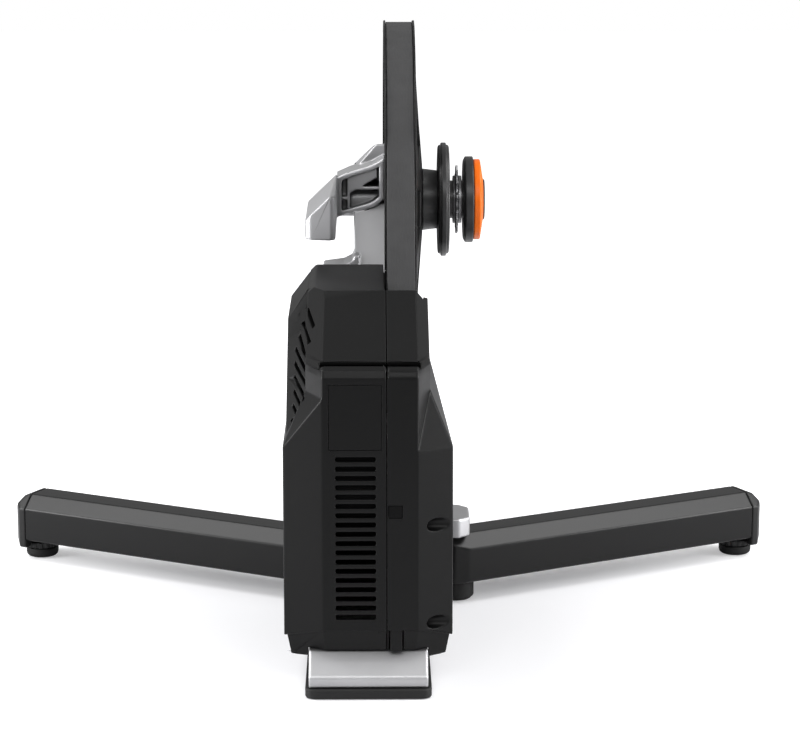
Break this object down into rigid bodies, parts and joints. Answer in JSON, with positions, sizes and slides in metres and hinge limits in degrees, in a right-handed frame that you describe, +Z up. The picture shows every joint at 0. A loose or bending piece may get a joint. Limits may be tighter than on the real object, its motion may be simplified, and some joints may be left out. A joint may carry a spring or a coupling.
{
  "type": "direct drive bike trainer",
  "caption": "Direct drive bike trainer: fold-out legs, cast frame, boxy flywheel casing, tall belt pulley and a freewheel hub with one sprocket that takes the place of the rear wheel",
  "frame": {"origin": "On the floor, under the middle of the box round the whole trainer with its legs folded out", "axes": "+X to the driving side, where the sprocket is; +Y away from the casing's front, the way the bike points; +Z up"},
  "size_m": [0.6988, 0.5274, 0.5062],
  "materials": {
    "cast_metal": "blasted and clear coated casting",
    "black_plastic": "fine textured satin moulding",
    "dark_gloss_plastic": "smooth glossy lens",
    "dark_paint": "satin dark grey coat",
    "black_paint": "satin black coat",
    "black_rubber": "matte rubber",
    "belt_rubber": "satin ribbed belt back",
    "steel": "turned and plated",
    "dark_steel": "black oxide",
    "orange_plastic": "satin moulding",
    "copper": "enamelled copper winding",
    "board": "solder masked board"
  },
  "bodies": {
    "frame": {"base_casting": "cast_metal", "upright_casting": "cast_metal", "frame_bolt_front": "dark_steel", "frame_bolt_rear": "dark_steel", "front_pad": "black_rubber", "left_casing": "black_plastic", "right_casing": "black_plastic", "badge_plate": "black_plastic", "status_window": "dark_gloss_plastic", "casing_screw_upper": "dark_steel", "casing_screw_lower": "dark_steel", "control_board": "board", "power_socket": "black_plastic", "axle_tube": "steel", "left_dropout_adapter": "dark_steel", "right_dropout_adapter": "black_plastic", "belt": "belt_rubber", "flywheel_bearing_left": "steel", "flywheel_bearing_right": "steel", "left_bearing_plate": "cast_metal", "right_bearing_plate": "cast_metal", "left_plate_bolt": "dark_steel", "right_plate_bolt": "dark_steel", "brake_stator": "dark_steel", "brake_coil_1": "copper", "brake_coil_2": "copper", "brake_coil_3": "copper", "brake_coil_4": "copper", "left_pivot_bolt": "dark_steel", "right_pivot_bolt": "dark_steel", "left_root_foot": "black_rubber", "right_root_foot": "black_rubber"},
    "pulley": {"drive_pulley": "dark_paint", "pulley_bearing_left": "steel", "pulley_bearing_right": "steel", "one_way_clutch": "steel"},
    "hub": {"hub_body": "dark_paint", "hub_bearing_left": "steel", "hub_bearing_right": "steel", "inner_guard": "black_plastic", "outer_guard": "black_plastic"},
    "sprocket_unit": {"sprocket_carrier": "steel", "sprocket": "steel", "sprocket_lockring": "dark_steel"},
    "knob": {"chain_line_knob": "orange_plastic"},
    "flywheel_unit": {"flywheel": "steel", "flywheel_shaft": "steel", "pinion_pulley": "steel"},
    "idler": {"idler_roller": "dark_steel"},
    "left_leg": {"left_leg_beam": "black_paint", "left_leg_cap": "black_plastic", "left_leg_bush": "black_plastic"},
    "left_foot": {"left_foot_pad": "black_rubber"},
    "left_wheel": {"left_foot_wheel": "black_plastic"},
    "right_leg": {"right_leg_beam": "black_paint", "right_leg_cap": "black_plastic", "right_leg_bush": "black_plastic"},
    "right_foot": {"right_foot_pad": "black_rubber"},
    "right_wheel": {"right_foot_wheel": "black_plastic"}
  },
  "joints": [
    {"name": "pulley_spin", "type": "hinge", "parent": "frame", "child": "pulley", "pos_m": [0, 0.1033, 0.3458], "axis": [1, 0, 0], "continuous": true},
    {"name": "hub_freewheel", "type": "hinge", "parent": "pulley", "child": "hub", "pos_m": [0.05, 0.1033, 0.3458], "axis": [1, 0, 0], "continuous": true},
    {"name": "knob_turn", "type": "hinge", "parent": "hub", "child": "knob", "pos_m": [0.08, 0.1033, 0.3458], "axis": [1, 0, 0], "range_deg": [-135, 135]},
    {"name": "sprocket_shift", "type": "slide", "parent": "hub", "child": "sprocket_unit", "axis": [1, 0, 0], "range_m": [-0.0013, 0.0013]},
    {"name": "flywheel_spin", "type": "hinge", "parent": "frame", "child": "flywheel_unit", "pos_m": [0, -0.1547, 0.182], "axis": [1, 0, 0], "continuous": true},
    {"name": "idler_spin", "type": "hinge", "parent": "frame", "child": "idler", "pos_m": [0.008, -0.09406, 0.15096], "axis": [1, 0, 0], "continuous": true},
    {"name": "left_leg_fold", "type": "hinge", "parent": "frame", "child": "left_leg", "pos_m": [-0.0585, 0.0153, 0.04], "axis": [0, 0, 1], "range_deg": [-61.3, 0]},
    {"name": "left_foot_height", "type": "slide", "parent": "left_leg", "child": "left_foot", "axis": [0, 0, 1], "range_m": [-0.008, 0]},
    {"name": "left_foot_turn", "type": "hinge", "parent": "left_foot", "child": "left_wheel", "pos_m": [-0.32748, 0.15652, 0.015], "axis": [0, 0, 1], "range_deg": [-1920, 0]},
    {"name": "right_leg_fold", "type": "hinge", "parent": "frame", "child": "right_leg", "pos_m": [0.0585, 0.0153, 0.04], "axis": [0, 0, 1], "range_deg": [0, 61.3]},
    {"name": "right_foot_height", "type": "slide", "parent": "right_leg", "child": "right_foot", "axis": [0, 0, 1], "range_m": [-0.008, 0]},
    {"name": "right_foot_turn", "type": "hinge", "parent": "right_foot", "child": "right_wheel", "pos_m": [0.32748, 0.15652, 0.015], "axis": [0, 0, 1], "range_deg": [-1920, 0]}
  ],
  "couplings": [
    {"joint": "flywheel_spin", "follows": "pulley_spin", "ratio": 7.302},
    {"joint": "idler_spin", "follows": "pulley_spin", "ratio": -11.32},
    {"joint": "sprocket_shift", "follows": "knob_turn", "m_per_rad": 0.00055},
    {"joint": "left_foot_height", "follows": "left_foot_turn", "m_per_rad": 0.00023873},
    {"joint": "right_foot_height", "follows": "right_foot_turn", "m_per_rad": 0.00023873}
  ]
}
